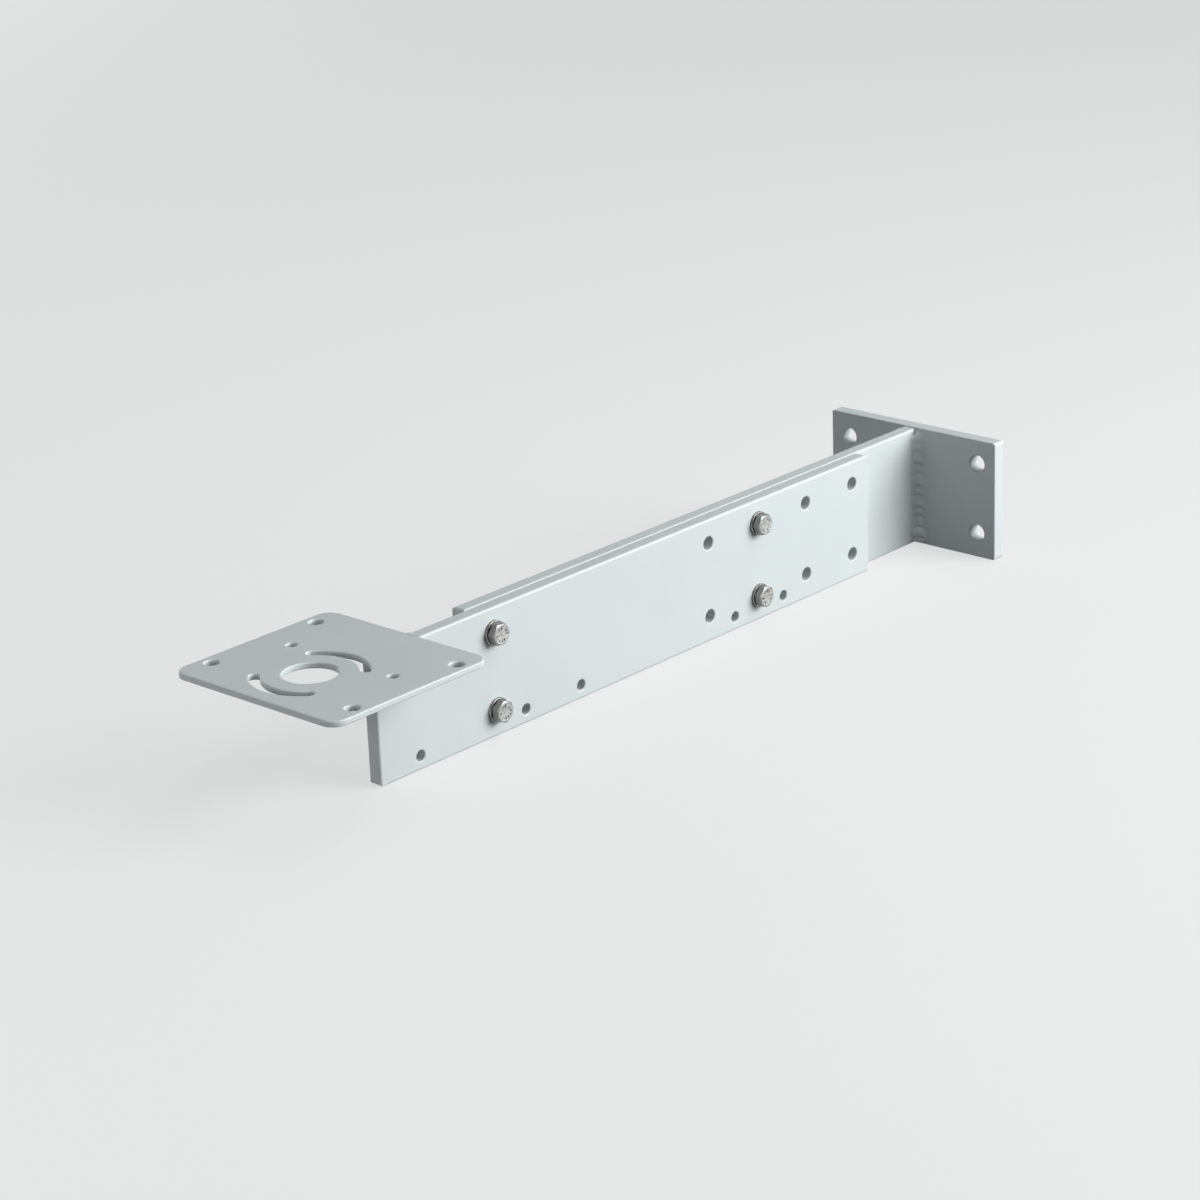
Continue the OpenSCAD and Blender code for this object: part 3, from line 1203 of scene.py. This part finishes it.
    def hexagon(self, turn: float) -> list[tuple[float, float, float]]:
        """Works out a hexagon's outline, with points closer together towards its corners.

        Args:
            turn: The angle of one corner, in radians.

        Returns:
            For each point its direction's X and Y and its distance from the axis.
        """
        sector = math.pi / 3
        points = []
        for side in range(6):
            for step in range(self.slices):
                share = step / self.slices
                # The cosine brings the points together at both corners of a side
                off_middle = -math.cos(math.pi * share) * sector / 2
                angle = turn + sector / 2 + side * sector + off_middle
                reach = self.across_flats_mm * MM / 2 / math.cos(off_middle)
                points.append((math.cos(angle), math.sin(angle), reach))
        return points

    def solid(
        self,
        name: str,
        layers: list[list[tuple]],
        flanks: dict[int, float],
        place: Matrix,
        material: bpy.types.Material,
    ) -> bpy.types.Object:
        """Joins rings of points into a closed solid with bevelled edges.

        Args:
            name: The piece's name.
            layers: The rings in order. A ring of one point closes an end, and a last ring that is
                the first one closes the solid on itself.
            flanks: How far the flanks' painted shade covers a ring, by the ring's number.
            place: Where it goes in the frame.
            material: Its finish.

        Returns:
            The piece.
        """
        work = bmesh.new()
        # Each point holds how much of the flanks' painted shade it carries
        flank = work.verts.layers.float.new(FLANK)
        rings = [[work.verts.new(point) for point in layer] for layer in layers[:-1]]
        closed = layers[-1] is layers[0]
        rings.append(rings[0] if closed else [work.verts.new(point) for point in layers[-1]])
        for number, cover in flanks.items():
            for vertex in rings[number]:
                vertex[flank] = cover
        for lower, upper in zip(rings, rings[1:]):
            count = max(len(lower), len(upper))
            for i in range(count):
                corners = [
                    lower[i % len(lower)],
                    lower[(i + 1) % len(lower)],
                    upper[(i + 1) % len(upper)],
                    upper[i % len(upper)],
                ]
                work.faces.new(list(dict.fromkeys(corners)))
        bmesh.ops.recalc_face_normals(work, faces=work.faces)
        for face in work.faces:
            face.smooth = True
        mesh = bpy.data.meshes.new(name)
        work.to_mesh(mesh)
        work.free()
        mesh.transform(place)
        mesh.materials.append(material)
        piece = link_mesh(name, mesh)
        bevel = piece.modifiers.new("broken edges", "BEVEL")
        bevel.width = self.bevel_mm * MM
        bevel.segments = self.bevel_segments
        bevel.limit_method = "ANGLE"
        bevel.angle_limit = math.radians(self.bevel_angle_deg)
        bevel.harden_normals = True
        return piece


def corner_angle(node: str, place: Matrix) -> float:
    """Finds how far a hexagon is turned, from its CAD mesh.

    Args:
        node: A bolt's or nut's node.
        place: The matrix from the fastener's own axes, with Z along its axis, to the frame.

    Returns:
        The angle of the corner that reaches furthest from the axis, in radians.
    """
    back = place.inverted()
    local = [back @ vertex.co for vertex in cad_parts[node].data.vertices]
    corner = max(local, key=lambda point: math.hypot(point.x, point.y))
    return math.atan2(corner.y, corner.x)


@dataclass
class Studio:
    """The camera, the lamps and the paper floor."""

    aim_mm: tuple[float, float, float] = (293.0, -38.9, -10.3)
    distance_mm: float = 2130.7
    azimuth_deg: float = 47.335
    elevation_deg: float = 20.078
    roll_deg: float = 2.248
    lens_mm: float = 98.99
    sensor_mm: float = 36.0
    lamps_aim: tuple[float, float, float] = (0.3, 0.0, 0.0)
    floor_side_mm: float = 40000.0
    surround: str = "#FFFEFA"
    horizon_strength: float = 0.06
    zenith_strength: float = 0.04

    def build(self) -> None:
        """Makes the camera, the lamps, the world and the floor."""
        self.camera()
        self.lamps()
        self.floor()
        bpy.context.scene.view_settings.view_transform = "Standard"

    def camera(self) -> None:
        """Puts the camera at the photograph's place."""
        azimuth, elevation = math.radians(self.azimuth_deg), math.radians(self.elevation_deg)
        back = Vector(
            (
                math.sin(azimuth) * math.cos(elevation),
                math.cos(azimuth) * math.cos(elevation),
                math.sin(elevation),
            ),
        )
        right = Vector((0, 0, 1)).cross(back).normalized()
        up = back.cross(right)
        place = Matrix((right, up, back)).transposed().to_4x4()
        place = place @ Matrix.Rotation(-math.radians(self.roll_deg), 4, "Z")
        place.translation = Vector(self.aim_mm) * MM + back * self.distance_mm * MM
        data = bpy.data.cameras.new("camera")
        data.lens = self.lens_mm
        data.sensor_width = self.sensor_mm
        camera = bpy.data.objects.new("camera", data)
        camera.matrix_world = place
        bpy.context.scene.collection.objects.link(camera)
        bpy.context.scene.camera = camera

    def lamps(self) -> None:
        """Hangs the soft boxes and sets the even light all round."""
        for name, spot, size, watts in (
            ("key_softbox", (-0.90, 2.19, 1.03), (2.25, 1.62), 115.5),
            ("overhead_softbox", (-0.08, 0.33, 1.2), (1.3, 0.8), 6.6),
            ("end_fill", (1.5, -0.15, 0.25), (0.8, 0.6), 3.7),
            ("back_fill", (-0.3, -3.6, 0.25), (2.6, 0.7), 50.0),
        ):
            data = bpy.data.lights.new(name, "AREA")
            data.shape = "RECTANGLE"
            data.size, data.size_y = size
            data.energy = watts
            lamp = bpy.data.objects.new(name, data)
            lamp.location = spot
            lamp.rotation_mode = "QUATERNION"
            lamp.rotation_quaternion = (Vector(self.lamps_aim) - lamp.location).to_track_quat("-Z", "Y")
            bpy.context.scene.collection.objects.link(lamp)
        world = bpy.data.worlds.new("studio")
        world.use_nodes = True
        tree = world.node_tree
        tree.nodes.clear()
        ray = add_node(tree, "ShaderNodeTexCoord").outputs["Generated"]
        height = add_node(tree, "ShaderNodeSeparateXYZ", inputs={0: ray}).outputs["Z"]
        strength = add_node(
            tree,
            "ShaderNodeMapRange",
            inputs={"Value": height, "To Min": self.horizon_strength, "To Max": self.zenith_strength},
        )
        light = add_node(
            tree, "ShaderNodeBackground", inputs={"Color": colour(self.surround), "Strength": strength}
        )
        add_node(tree, "ShaderNodeOutputWorld", inputs={"Surface": light})
        bpy.context.scene.world = world

    def floor(self) -> None:
        """Lays the paper floor under the arm."""
        half = self.floor_side_mm * MM / 2
        level = cad_box[0].z
        mesh = bpy.data.meshes.new("floor")
        corners = [(x * half, y * half, level) for x, y in ((-1, -1), (1, -1), (1, 1), (-1, 1))]
        mesh.from_pydata(corners, [], [(0, 1, 2, 3)])
        mesh.materials.append(PaperFloor().material())
        link_mesh("floor", mesh)


def main() -> None:
    """Builds the studio and the arm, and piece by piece."""
    logging.basicConfig(level=logging.INFO, format="%(name)s: %(message)s")
    Studio().build()
    coat = PowderCoat().material()
    forged, pickled, stamped = (s.material() for s in (FORGED_STEEL, PICKLED_STEEL, STAMPED_STEEL))
    bead = weld_bead_tree()
    WallBracket().build(coat, bead)
    DeviceArm().build(coat, bead)
    thread, marks = thread_tree(), head_marks_tree()
    for seed, place in enumerate(BoltPlace, FIRST_MARKS_SEED):
        ClampSet(place, marks_seed=seed).build(forged, pickled, stamped, thread, marks)


if __name__ == "__main__":
    main()
